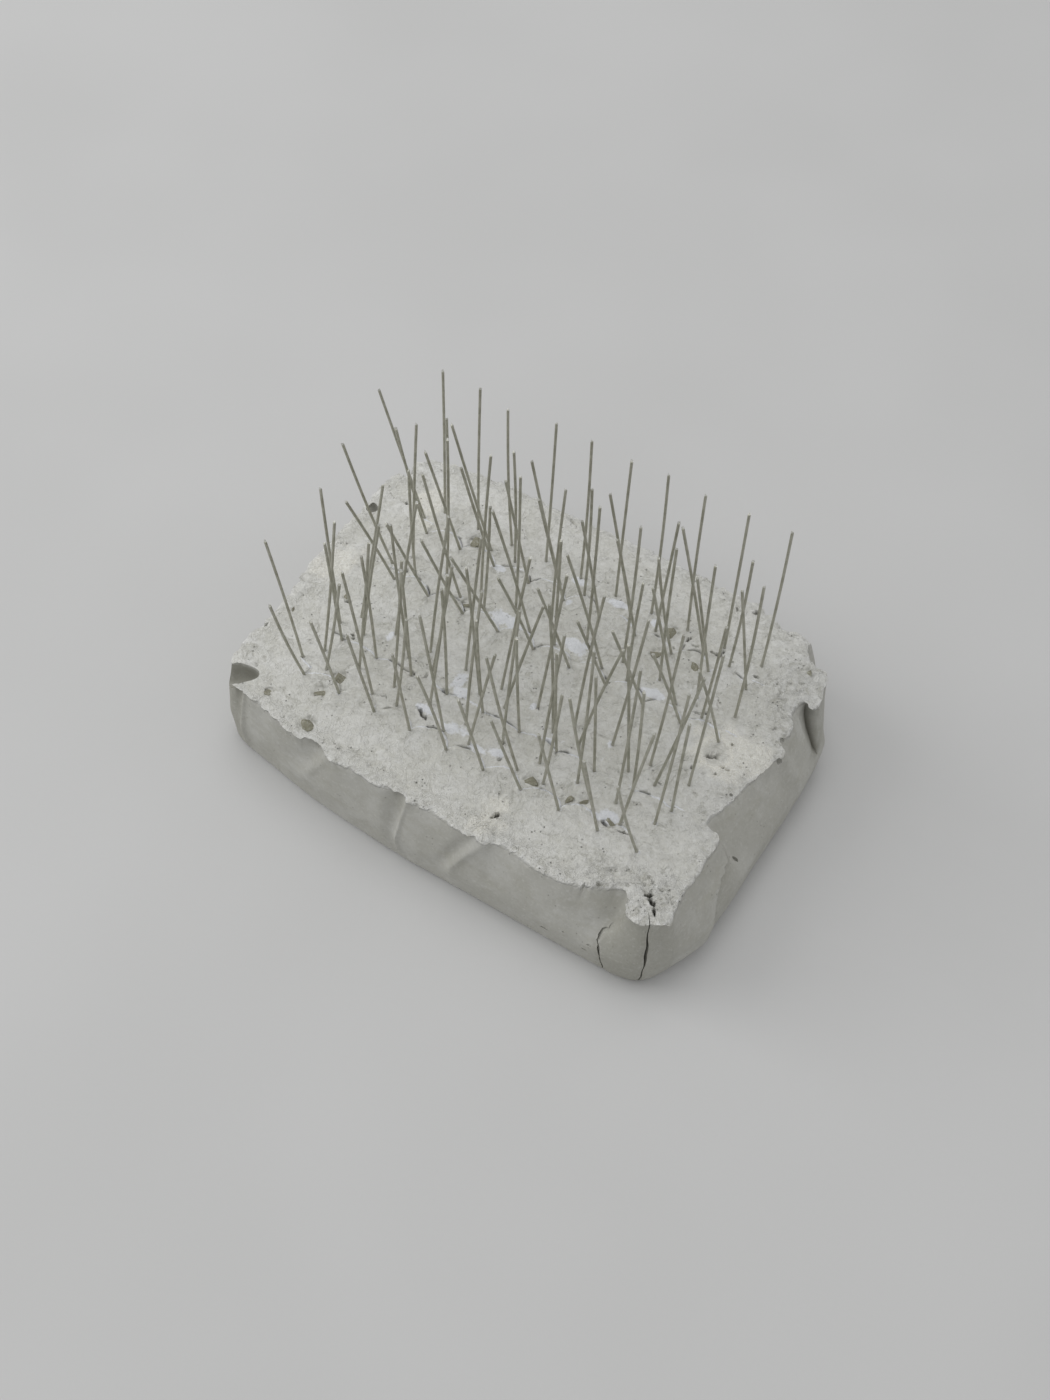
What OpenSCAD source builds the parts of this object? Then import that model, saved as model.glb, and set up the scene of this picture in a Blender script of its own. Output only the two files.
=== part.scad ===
// Flower frog: a cast cement block that holds four rows of sprung steel wire pins.
// Flower stems are pushed in between the pins, which lean apart and grip them.
// Origin: centre of the flat underside. +X along the block, +Z up. Millimetres.

/* [Block] */
// Length of the cast block at its widest
block_l = 190; // [170:1:240]
// Width of the cast block at its widest
block_w = 142; // [130:1:180]
// Height of the cast block
block_h = 34; // [30:1:50]
// Height at which the sides stop rising straight
belt_h = 13; // [8:1:18]
// Radius along the bottom edge
foot_r = 5; // [2:0.5:7]
// How far the rim stands in from the widest line, at the left end
left_draft = 3; // [0:0.5:6]
// How far the rim stands in from the widest line, at the right end
right_draft = 8; // [0:0.5:10]

/* [Pins] */
// Diameter of the pin wire
wire_d = 1; // [0.8:0.1:1.6]
// Length of a pin above the top face
pin_rise = 64; // [40:1:90]
// Length of a pin below the top face
pin_root = 16; // [14:0.5:20]
// Pins in each outer row
columns = 10; // [4:2:10]
// Distance from one pin to the next in an outer row
column_pitch = 14.6; // [12:0.1:15]
// Distance from a strip's middle line to its outer rows, at the top face
row_offset = 6; // [5:0.5:6.5]
// Distance from a column to each pin of a middle pair, at the top face
pair_offset = 5; // [4:0.5:6]
// Outward lean of the outer rows, in degrees
fan_lean = 9; // [3:1:12]
// Outward lean of the middle pairs, in degrees
pair_lean = 7; // [0:1:12]
// Largest random lean of one pin, in degrees
lean_scatter = 2; // [0:0.5:4]
// Seed for the random lean
scatter_seed = 358; // [1:1:999]

/* [Carrier strips] */
// Width of a carrier strip
strip_w = 14; // [14:0.5:18]
// Thickness of a carrier strip
strip_t = 6; // [4:0.5:7]
// Depth of cement over a carrier strip
strip_cover = 6; // [5:0.5:8]
// Length of a strip past its first and last pin
strip_end = 9; // [8:0.5:12]

/* [Hidden] */

FRONT = -1;
BACK = 1;
MIDDLE = 0;

// Where the four strips lie, and how each one was pushed a little out of true.
strip_y = [-37, -18, 14, 38];
strip_shift = [-2.1, 0.3, 0.9, -1];
strip_roll = [-3, 2, -6, -3];
strip_tip = [2, 3, -2, -3];
// How much more than fan_lean its rows open, and how far its ends bow upwards.
strip_fan = [1, -2, 3, -1];
strip_bow = [3, 1, 1, 0];

// Plan radius of each corner: front left, front right, back right, back left.
corner_r = [12, 20, 17, 10];

// Gravel showing in the top face: x, y, radius, turn in degrees.
stones = [
    [-59, -46, 2.0, 20], [-55, -59, 2.6, 65], [-74, -55, 1.5, 10], [-57, -37.5, 2.0, 40],
    [21, -38.5, 2.4, 30], [16, -46, 2.1, 75], [35, -37.5, 2.2, 15], [40, -36, 1.6, 50],
    [51, -38, 1.7, 35], [31, 29, 2.1, 60], [45, 31, 2.1, 25], [31, 40, 2.8, 5],
    [-49, 38.5, 2.8, 80], [-37, 13, 1.7, 45], [-28, 33, 1.6, 70], [80, 50, 1.5, 30],
    [-87, -22, 1.3, 55], [-75, -7, 1.3, 20]
];
stone_sink = 0.45;

strip_l = (columns - 1) * column_pitch + 2 * strip_end;

function column_x(strip, c) = strip_shift[strip] + (c - (columns - 1) / 2) * column_pitch;

// Lean along the strip at a column: a bowed strip tips its end pins towards the middle.
function column_tip(strip, c) = strip_tip[strip] + strip_bow[strip] * (1 - 2 * c / (columns - 1));

// Two random leans for each pin of a row, always the same for one seed.
function scatter(strip, row) =
    rands(-lean_scatter, lean_scatter, 2 * columns, scatter_seed + 3 * strip + row);

// An outer row has one pin at every column. Each pin is [x, y, lean to +x, lean to +y].
function outer_row(strip, row) = let (s = scatter(strip, row)) [
    for (c = [0 : columns - 1]) [
        column_x(strip, c),
        strip_y[strip] + row * row_offset,
        column_tip(strip, c) + s[2 * c],
        strip_roll[strip] + row * (fan_lean + strip_fan[strip]) + s[2 * c + 1]
    ]
];

// A middle row has a pair of pins, leaning apart, at every second column.
function middle_row(strip) = let (s = scatter(strip, MIDDLE)) [
    for (c = [0 : columns - 1])
    let (side = c % 2 == 0 ? -1 : 1, home = c - c % 2) [
        column_x(strip, home) + side * pair_offset,
        strip_y[strip],
        column_tip(strip, home) + side * pair_lean + s[2 * c],
        strip_roll[strip] + s[2 * c + 1]
    ]
];

function row_pins(strip, row) = row == MIDDLE ? middle_row(strip) : outer_row(strip, row);

// A corner of the block, whose side runs round the foot, up, and in to the rim.
module corner_post(r, draft) {
    foot = [for (a = [0 : 15 : 90]) [r - foot_r + foot_r * sin(a), foot_r - foot_r * cos(a)]];
    side = concat([[0, 0]], foot, [[r, belt_h], [r - draft, block_h], [0, block_h]]);
    rotate_extrude($fn = 48)
        polygon(side);
}

module block_body() {
    half_l = block_l / 2;
    half_w = block_w / 2;
    hull() {
        translate([-half_l + corner_r[0], -half_w + corner_r[0], 0])
            corner_post(corner_r[0], left_draft);
        translate([half_l - corner_r[1], -half_w + corner_r[1], 0])
            corner_post(corner_r[1], right_draft);
        translate([half_l - corner_r[2], half_w - corner_r[2], 0])
            corner_post(corner_r[2], right_draft);
        translate([-half_l + corner_r[3], half_w - corner_r[3], 0])
            corner_post(corner_r[3], left_draft);
    }
}

// One wire, which crosses the top face at the given place and leans to +x and +y.
module wire(pin) {
    translate([pin[0], pin[1], block_h])
        rotate([-pin[3], pin[2], 0])
            translate([0, 0, -pin_root])
                cylinder(d = wire_d, h = pin_root + pin_rise, $fn = 24);
}

module pin_row(strip, row) {
    for (pin = row_pins(strip, row))
        wire(pin);
}

module pin_strip(strip) {
    for (row = [FRONT, MIDDLE, BACK])
        pin_row(strip, row);
}

module strip_bar(strip) {
    translate([strip_shift[strip] - strip_l / 2, strip_y[strip] - strip_w / 2,
               block_h - strip_cover - strip_t])
        cube([strip_l, strip_w, strip_t]);
}

// One crushed stone: a ball with flats broken off it.
module stone(place) {
    r = place[2];
    translate([place[0], place[1], block_h - stone_sink * r])
        rotate([place[3] / 4, place[3] / 5, place[3]])
            intersection() {
                sphere(r = r, $fn = 32);
                cube([1.6 * r, 1.8 * r, 1.5 * r], center = true);
            }
}

// The cement lies round every piece that it holds.
module cast_block() {
    color("#b8b8b1")
        difference() {
            block_body();
            for (strip = [0 : len(strip_y) - 1]) {
                strip_bar(strip);
                pin_strip(strip);
            }
            for (place = stones)
                stone(place);
        }
}

module surface_gravel() {
    color("#8f8c76")
        for (place = stones)
            stone(place);
}

// A plastic bar with a drilled hole for every pin, buried under the top face.
module carrier_strip(strip) {
    color("#e8e9ec")
        difference() {
            strip_bar(strip);
            pin_strip(strip);
        }
}

module front_pins(strip) {
    color("#7d7a68")
        pin_row(strip, FRONT);
}

module middle_pins(strip) {
    color("#7d7a68")
        pin_row(strip, MIDDLE);
}

module back_pins(strip) {
    color("#7d7a68")
        pin_row(strip, BACK);
}

cast_block();
surface_gravel();
carrier_strip(0);  // carrier_strip_1
carrier_strip(1);  // carrier_strip_2
carrier_strip(2);  // carrier_strip_3
carrier_strip(3);  // carrier_strip_4
front_pins(0);  // front_pins_1
front_pins(1);  // front_pins_2
front_pins(2);  // front_pins_3
front_pins(3);  // front_pins_4
middle_pins(0);  // middle_pins_1
middle_pins(1);  // middle_pins_2
middle_pins(2);  // middle_pins_3
middle_pins(3);  // middle_pins_4
back_pins(0);  // back_pins_1
back_pins(1);  // back_pins_2
back_pins(2);  // back_pins_3
back_pins(3);  // back_pins_4
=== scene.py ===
import math

import bmesh
import bpy
import numpy as np
from mathutils import Matrix, Vector
from mathutils.geometry import delaunay_2d_cdt


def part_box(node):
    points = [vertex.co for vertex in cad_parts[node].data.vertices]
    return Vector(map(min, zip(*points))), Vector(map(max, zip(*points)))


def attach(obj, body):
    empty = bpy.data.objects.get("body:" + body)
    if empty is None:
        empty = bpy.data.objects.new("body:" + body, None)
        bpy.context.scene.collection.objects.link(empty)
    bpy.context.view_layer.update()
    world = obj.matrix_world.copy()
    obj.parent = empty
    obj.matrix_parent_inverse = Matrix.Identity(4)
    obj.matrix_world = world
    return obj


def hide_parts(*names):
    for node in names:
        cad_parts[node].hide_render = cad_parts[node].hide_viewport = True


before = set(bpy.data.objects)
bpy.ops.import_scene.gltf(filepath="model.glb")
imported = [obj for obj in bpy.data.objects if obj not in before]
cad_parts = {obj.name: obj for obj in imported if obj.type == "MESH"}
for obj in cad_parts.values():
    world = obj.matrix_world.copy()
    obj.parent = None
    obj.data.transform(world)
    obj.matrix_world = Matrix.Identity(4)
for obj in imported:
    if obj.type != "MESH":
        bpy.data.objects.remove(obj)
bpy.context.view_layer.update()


# ---------------------------------------------------------------- carrier strips
# Four moulded plastic bars lie buried in the block, one under each band of pins. They hold
# the pins at their spacing while the cement is poured, and stay in it for good. The plastic
# is a dull grey-green regrind with a fine spark-eroded grain and faint flow bands.
class Link:
    """The output of a node, which can be reckoned with like a number."""

    def __init__(self, tree, socket):
        self.tree = tree
        self.socket = socket

    def reckon(self, operation, first, second):
        return self.tree.add("ShaderNodeMath", {"operation": operation}, {0: first, 1: second})

    def __add__(self, other):
        return self.reckon("ADD", self, other)

    __radd__ = __add__

    def __sub__(self, other):
        return self.reckon("SUBTRACT", self, other)

    def __rsub__(self, other):
        return self.reckon("SUBTRACT", other, self)

    def __mul__(self, other):
        return self.reckon("MULTIPLY", self, other)

    __rmul__ = __mul__

    def __truediv__(self, other):
        return self.reckon("DIVIDE", self, other)

    def __abs__(self):
        return self.tree.add("ShaderNodeMath", {"operation": "ABSOLUTE"}, {0: self})

    def rise(self, low, high):
        """0 below low, 1 above high, and smooth in between."""
        return self.tree.add("ShaderNodeMapRange", {"interpolation_type": "SMOOTHSTEP"},
                             {"Value": self, "From Min": low, "From Max": high})


class Tree:
    """A shader or geometry tree that is being laid out, node by node."""

    def __init__(self, node_tree):
        self.node_tree = node_tree
        node_tree.nodes.clear()

    def add(self, kind, settings=None, inputs=None, out=0):
        """Makes a node: its settings first, then its sockets. Gives the output named by out."""
        node = self.node_tree.nodes.new(kind)
        for name, value in (settings or {}).items():
            setattr(node, name, value)
        for name, value in (inputs or {}).items():
            if isinstance(value, Link):
                self.node_tree.links.new(value.socket, node.inputs[name])
            else:
                node.inputs[name].default_value = value
        if isinstance(out, tuple):
            return [Link(self, node.outputs[o]) for o in out]
        return Link(self, node.outputs[out]) if node.outputs else None

    def mix(self, factor, first, second):
        """Mixes two colours."""
        first, second = [(*c, 1) if isinstance(c, tuple) else c for c in (first, second)]
        return self.add("ShaderNodeMix", {"data_type": "RGBA"},
                        {0: factor, 6: first, 7: second}, out=2)

    def coats(self, tone, *coats):
        """Lays coats over a colour in turn, each a mask and a colour."""
        for mask, colour in coats:
            tone = self.mix(mask, tone, colour)
        return tone

    def grain(self, place, size, detail=3.0, roughness=0.55, distortion=0.0):
        """Noise with lumps of about that size in millimetres, from 0 to 1."""
        return self.add("ShaderNodeTexNoise", None,
                        {"Vector": place, "Scale": 1000 / size, "Detail": detail,
                         "Roughness": roughness, "Distortion": distortion})

    def bump(self, height, depth):
        """Raises the surface by height times depth, in millimetres."""
        return self.add("ShaderNodeBump", None,
                        {"Height": height, "Distance": depth / 1000, "Strength": 1.0})

    def surface(self, **inputs):
        """Ends a material in one Principled surface."""
        named = {name.replace("_", " "): value for name, value in inputs.items()}
        shader = self.add("ShaderNodeBsdfPrincipled", None, named)
        self.add("ShaderNodeOutputMaterial", None, {"Surface": shader})


def new_finish(name):
    """A new material, the tree it is laid out in, and the places on the piece that it reads."""
    finish = bpy.data.materials.new(name)
    finish.use_nodes = True
    tree = Tree(finish.node_tree)
    return finish, tree, tree.add("ShaderNodeTexCoord", out="Object")


carrier_plastic, tree, place = new_finish("carrier_plastic")
flow = tree.grain(place, 9, 3, 0.5, 1.5)
spark = tree.grain(place, 0.5, 2)
tree.surface(
    Base_Color=tree.mix(flow.rise(0.35, 0.7), (0.085, 0.092, 0.082), (0.13, 0.135, 0.118)),
    Roughness=0.46 + 0.16 * spark,
    Normal=tree.bump(spark, 0.05),
)
for strip in (1, 2, 3, 4):
    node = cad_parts[f"carrier_strip_{strip}"]
    node.data.materials.clear()
    node.data.materials.append(carrier_plastic)


# ---------------------------------------------------------------- pins
# A hundred and twenty pins of drawn steel wire, dull and olive-grey, snipped to length so
# that each one ends in a small bright chisel. They stand in rows of ten, a little bowed
# from the coil they were cut from, and are gripped in the carriers and in the cement.
def solids_of(name):
    """The corner points of each separate solid in a CAD node, in millimetres."""
    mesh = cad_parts[name].data
    corners = np.array([v.co for v in mesh.vertices]) * 1000
    points, index = np.unique(np.round(corners, 3), axis=0, return_inverse=True)
    index = index.ravel()
    faces = index[np.array([tuple(f.vertices) for f in mesh.polygons])]
    label = np.arange(len(points))
    while True:
        lowest = label[faces].min(1)
        new = label.copy()
        for corner in range(3):
            np.minimum.at(new, faces[:, corner], lowest)
        if (new == label).all():
            return [points[label == k] for k in np.unique(label)]
        label = new


def wire_axes(name):
    """The root and the tip of every wire in a pin node, in millimetres."""
    ends = []
    for points in solids_of(name):
        upper = points[:, 2] > points[:, 2].mean()
        ends.append((points[~upper].mean(0), points[upper].mean(0)))
    return ends


pin_wire, tree, place = new_finish("pin_wire")
up = tree.add("ShaderNodeAttribute", {"attribute_name": "height_up_wire"}, out="Fac")
turn = tree.add("ShaderNodeAttribute", {"attribute_name": "turn_round_wire"}, out="Fac")
drawn = tree.add("ShaderNodeCombineXYZ", None, {0: turn * 9, 1: up * 0.35, 2: 0.0})
draw_lines = tree.add("ShaderNodeTexNoise", None, {"Vector": drawn, "Scale": 2.2, "Detail": 3.0})
tarnish = tree.grain(place, 5, 4, 0.6)
specks = tree.grain(place, 0.9, 3, 0.6)
near_cement = 1 - up.rise(16.0, 21.0)
steel = tree.coats(
    tree.mix(tarnish.rise(0.35, 0.68), (0.52, 0.515, 0.445), (0.39, 0.385, 0.315)),
    (draw_lines.rise(0.5, 0.75) * 0.45, (0.6, 0.59, 0.5)),
    (specks.rise(0.62, 0.72) * 0.5, (0.2, 0.18, 0.12)),
    (near_cement * specks.rise(0.42, 0.6) * 0.7, (0.4, 0.39, 0.35)))
tree.surface(
    Base_Color=steel,
    Metallic=0.72 - near_cement * 0.4,
    Roughness=0.4 + 0.22 * tarnish + near_cement * 0.15,
    Normal=tree.bump(draw_lines + specks * 0.6, 0.05),
)

cut_steel, tree, place = new_finish("cut_steel")
scores = tree.grain(place, 0.25, 2)
tree.surface(
    Base_Color=tree.mix(scores.rise(0.35, 0.7), (0.86, 0.86, 0.82), (0.55, 0.55, 0.5)),
    Metallic=0.55,
    Roughness=0.24 + 0.2 * scores,
    Normal=tree.bump(scores, 0.04),
)


def named_inputs(group, inputs):
    """Adds the sizes a geometry tree is driven by, and gives the identifier of each."""
    group.interface.new_socket("Geometry", in_out="INPUT", socket_type="NodeSocketGeometry")
    group.interface.new_socket("Geometry", in_out="OUTPUT", socket_type="NodeSocketGeometry")
    return {name: group.interface.new_socket(name, in_out="INPUT", socket_type=kind).identifier
            for name, kind in inputs.items()}


wire_maker = bpy.data.node_groups.new("wire_maker", "GeometryNodeTree")
wire_sockets = named_inputs(wire_maker, {
    "Wire Diameter": "NodeSocketFloat", "Bow": "NodeSocketFloat", "Snip": "NodeSocketFloat",
    "Seed": "NodeSocketInt", "Wire": "NodeSocketMaterial", "Cut": "NodeSocketMaterial",
})
tree = Tree(wire_maker)
lines, diameter, bow, snip, seed, wire_skin, cut_skin = tree.add(
    "NodeGroupInput", out=("Geometry", "Wire Diameter", "Bow", "Snip", "Seed", "Wire", "Cut"))
curves = tree.add("GeometryNodeMeshToCurve", None, {"Mesh": lines})
curves = tree.add("GeometryNodeResampleCurve", None, {"Curve": curves, "Count": 15})
along, arc = tree.add("GeometryNodeSplineParameter", out=("Factor", "Length"))
sway = tree.add("FunctionNodeRandomValue", {"data_type": "FLOAT_VECTOR"},
                {"Min": (-1, -1, -0.15), "Max": (1, 1, 0.15), "Seed": seed})
sway = tree.add("GeometryNodeFieldOnDomain", {"domain": "CURVE", "data_type": "FLOAT_VECTOR"},
                {"Value": sway})
arch = tree.add("ShaderNodeMath", {"operation": "SINE"}, {0: (along - 0.2) * (math.pi * 1.25)})
arch = tree.add("ShaderNodeMath", {"operation": "MAXIMUM"}, {0: arch, 1: 0.0}) * bow
shift = tree.add("ShaderNodeVectorMath", {"operation": "SCALE"}, {0: sway, "Scale": arch})
curves = tree.add("GeometryNodeSetPosition", None, {"Geometry": curves, "Offset": shift})
curves = tree.add("GeometryNodeStoreNamedAttribute", {"data_type": "FLOAT", "domain": "POINT"},
                  {"Geometry": curves, "Name": "height_up_wire", "Value": arc * 1000})
ring = tree.add("GeometryNodeCurvePrimitiveCircle", None,
                {"Resolution": 10, "Radius": diameter * 0.5})
ring_place = tree.add("GeometryNodeSplineParameter", out="Factor")
ring = tree.add("GeometryNodeStoreNamedAttribute", {"data_type": "FLOAT", "domain": "POINT"},
                {"Geometry": ring, "Name": "turn_round_wire", "Value": ring_place})
shafts = tree.add("GeometryNodeCurveToMesh", None,
                  {"Curve": curves, "Profile Curve": ring, "Fill Caps": True})
shafts = tree.add("GeometryNodeSetShadeSmooth", None, {0: shafts, "Shade Smooth": True})

# The snipped end: a short drum whose upper end is pinched flat and sheared to one side.
drum = tree.add("GeometryNodeMeshCylinder", None,
                {"Vertices": 10, "Side Segments": 3, "Fill Segments": 1,
                 "Radius": diameter * 0.5, "Depth": snip})
spot = tree.add("GeometryNodeInputPosition")
across, wide, high = tree.add("ShaderNodeSeparateXYZ", None, {0: spot}, out=(0, 1, 2))
rise = high / snip + 0.5
pinch = rise * rise
moved = tree.add("ShaderNodeCombineXYZ", None, {
    0: across * (1 - pinch * 0.62) + diameter * 0.12 * pinch,
    1: wide * (1 + pinch * 0.1),
    2: high + snip * 0.3 + across * pinch * 0.8,
})
drum = tree.add("GeometryNodeSetPosition", None, {"Geometry": drum, "Position": moved})
drum = tree.add("GeometryNodeSetShadeSmooth", None, {0: drum, "Shade Smooth": False})
drum = tree.add("GeometryNodeStoreNamedAttribute", {"data_type": "FLOAT", "domain": "FACE"},
                {"Geometry": drum, "Name": "cut_end", "Value": rise.rise(0.8, 0.9)})
at_tip = tree.add("GeometryNodeCurveEndpointSelection", None, {"Start Size": 0, "End Size": 1})
heading = tree.add("GeometryNodeInputTangent")
aimed = tree.add("FunctionNodeAlignRotationToVector", {"axis": "Z"}, {"Vector": heading})
spin = tree.add("FunctionNodeRandomValue", {"data_type": "FLOAT"},
                {2: -math.pi, 3: math.pi, "Seed": seed}, out=1)
spin = tree.add("ShaderNodeCombineXYZ", None, {0: 0.0, 1: 0.0, 2: spin})
aimed = tree.add("FunctionNodeRotateRotation", {"rotation_space": "LOCAL"},
                 {"Rotation": aimed, "Rotate By": spin})
tips = tree.add("GeometryNodeInstanceOnPoints", None,
                {"Points": curves, "Selection": at_tip, "Instance": drum, "Rotation": aimed})
joined = tree.add("GeometryNodeJoinGeometry", None, {"Geometry": shafts})
wire_maker.links.new(tips.socket, joined.socket.node.inputs[0])
joined = tree.add("GeometryNodeRealizeInstances", None, {"Geometry": joined})
joined = tree.add("GeometryNodeSetMaterial", None, {"Geometry": joined, "Material": wire_skin})
cut_end = tree.add("GeometryNodeInputNamedAttribute", {"data_type": "FLOAT"},
                   {"Name": "cut_end"}, out="Attribute")
joined = tree.add("GeometryNodeSetMaterial", None,
                  {"Geometry": joined, "Selection": cut_end, "Material": cut_skin})
tree.add("NodeGroupOutput", None, {"Geometry": joined})


def put_in(name, shape):
    """Puts a mesh, a lamp or a camera into the scene."""
    thing = bpy.data.objects.new(name, shape)
    bpy.context.scene.collection.objects.link(thing)
    return thing


def plain_mesh(builder, name):
    """Turns an object and its geometry tree into a plain mesh at the origin."""
    bpy.context.view_layer.update()
    graph = bpy.context.evaluated_depsgraph_get()
    mesh = bpy.data.meshes.new_from_object(builder.evaluated_get(graph), depsgraph=graph,
                                           preserve_all_data_layers=True)
    mesh.name = name
    bpy.data.objects.remove(builder)
    return put_in(name, mesh)


# Sizes of the wire in metres, and the height of the block's face in millimetres.
wire_sizes = {"Wire Diameter": 0.001, "Bow": 0.0005, "Snip": 0.0007,
              "Wire": pin_wire, "Cut": cut_steel}
block_top = 34
pin_feet = {}
for strip in (1, 2, 3, 4):
    for row_number, row in enumerate(("front", "middle", "back")):
        node_name = f"{row}_pins_{strip}"
        ends = wire_axes(node_name)
        pin_feet[row, strip] = np.array(sorted(
            tuple(root + (tip - root) * (block_top - root[2]) / (tip[2] - root[2]))
            for root, tip in ends))
        mesh = bpy.data.meshes.new("wire_lines")
        mesh.from_pydata([tuple(p / 1000) for pair in ends for p in pair],
                         [(2 * k, 2 * k + 1) for k in range(len(ends))], [])
        builder = put_in("wire_lines", mesh)
        maker = builder.modifiers.new("wire_maker", "NODES")
        maker.node_group = wire_maker
        for name, value in {**wire_sizes, "Seed": 10 * strip + row_number}.items():
            maker[wire_sockets[name]] = value
        pins = plain_mesh(builder, f"wire_{row}_{strip}")
        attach(pins, "root")
        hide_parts(node_name)


# ---------------------------------------------------------------- gravel
# Crushed stones from the mix that show in the top face, olive-brown with a dusting of
# cement. Each is a splinter with broken flats and worn arrises, sunk half into the face.
gravel_stone, tree, place = new_finish("gravel_stone")
mineral = tree.grain(place, 2.2, 4, 0.6)
crystal = tree.add("ShaderNodeTexVoronoi", {"feature": "F1"},
                   {"Vector": place, "Scale": 1800.0}, out="Distance")
dust = tree.grain(place, 0.8, 3, 0.6)
skin = tree.coats(
    tree.mix(mineral.rise(0.35, 0.65), (0.235, 0.225, 0.165), (0.335, 0.325, 0.25)),
    (crystal.rise(0.45, 0.7) * 0.4, (0.17, 0.16, 0.12)),
    (dust.rise(0.5, 0.66) * 0.55, (0.43, 0.425, 0.375)))
tree.surface(Base_Color=skin, Roughness=0.72 + 0.2 * dust,
             Normal=tree.bump(mineral + dust * 0.5, 0.22))


def unit(rows):
    """The same directions with a length of one."""
    return rows / np.linalg.norm(rows, axis=1)[:, None]


stone_places = []
stone_mesh = bmesh.new()
chance = np.random.default_rng(7)
for points in solids_of("surface_gravel"):
    low, high = points.min(0), points.max(0)
    centre, half = (low + high) / 2, (high - low) / 2
    stone_places.append((*centre[:2], *half[:2]))
    directions = unit(chance.normal(size=(15, 3)) * (1, 1, 0.8))
    reach = chance.uniform(0.95, 1.3, (15, 1))
    corners = centre + directions * reach * half * (1.12, 1.12, 1.0)
    corners[:, 2] = np.minimum(corners[:, 2], high[2] + 0.15)
    splinter = bmesh.new()
    for corner in corners:
        splinter.verts.new(corner / 1000)
    bmesh.ops.convex_hull(splinter, input=splinter.verts)
    loose = [v for v in splinter.verts if not v.link_faces]
    bmesh.ops.delete(splinter, geom=loose, context="VERTS")
    bmesh.ops.dissolve_limit(splinter, angle_limit=0.35, verts=splinter.verts, edges=splinter.edges)
    bmesh.ops.bevel(splinter, geom=splinter.edges[:], offset=half.mean() * 0.05 / 1000,
                    segments=2, profile=0.6, affect="EDGES", clamp_overlap=True)
    bmesh.ops.triangulate(splinter, faces=splinter.faces)
    bmesh.ops.subdivide_edges(splinter, edges=splinter.edges[:], cuts=1, use_grid_fill=True)
    for v in splinter.verts:
        outward = (v.co * 1000 - Vector(centre)).normalized()
        wobble = math.sin(9 * v.co.x * 1000 + 4 * v.co.z * 1000) * math.cos(7 * v.co.y * 1000)
        v.co += outward * wobble * 0.00005
    bmesh.ops.recalc_face_normals(splinter, faces=splinter.faces)
    piece_mesh = bpy.data.meshes.new("splinter")
    splinter.to_mesh(piece_mesh)
    splinter.free()
    stone_mesh.from_mesh(piece_mesh)
    bpy.data.meshes.remove(piece_mesh)
mesh = bpy.data.meshes.new("gravel_stones")
stone_mesh.to_mesh(mesh)
stone_mesh.free()
mesh.materials.append(gravel_stone)
gravel = put_in("gravel_stones", mesh)
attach(gravel, "root")
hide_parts("surface_gravel")


# ---------------------------------------------------------------- cast block
# One casting of fine cement, poured face up into a mould lined with plastic film. The film
# left the sides smooth and pinched them into folds, and the rim stands ragged where it let
# go. The face was floated by hand, one band for each strip of pins, so the bands lap.
low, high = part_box("cast_block")
half_long, half_wide, face_height = high.x * 1000, high.y * 1000, high.z * 1000
belt_height = 13.0
end_foot_radius, long_foot_radius = 5.0, 2.2
side_curve = 1.25
face_seed = 11


def ease(value, low, high):
    """0 below low, 1 above high, and smooth in between."""
    t = np.clip((value - low) / (high - low), 0, 1)
    return t * t * (3 - 2 * t)


def hump(value, width):
    """1 at zero, falling away on both sides over about that width."""
    return np.exp(-(value / width) ** 2)


def cloud(x, y, size, seed, octaves=1):
    """Random swell from about -1 to 1, with lumps of about that size in millimetres."""
    total = 0
    for octave in range(octaves):
        table = np.random.default_rng(seed + 31 * octave).uniform(-1, 1, (97, 97))
        u, v = x / size * 2 ** octave, y / size * 2 ** octave
        i, j = np.floor(u).astype(int), np.floor(v).astype(int)
        a, b = u - i, v - j
        a, b = a * a * (3 - 2 * a), b * b * (3 - 2 * b)
        i, j, i1, j1 = i % 97, j % 97, (i + 1) % 97, (j + 1) % 97
        near = table[i, j] * (1 - a) + table[i1, j] * a
        far = table[i, j1] * (1 - a) + table[i1, j1] * a
        total = total + (near * (1 - b) + far * b) * 0.5 ** octave
    return total


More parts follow.
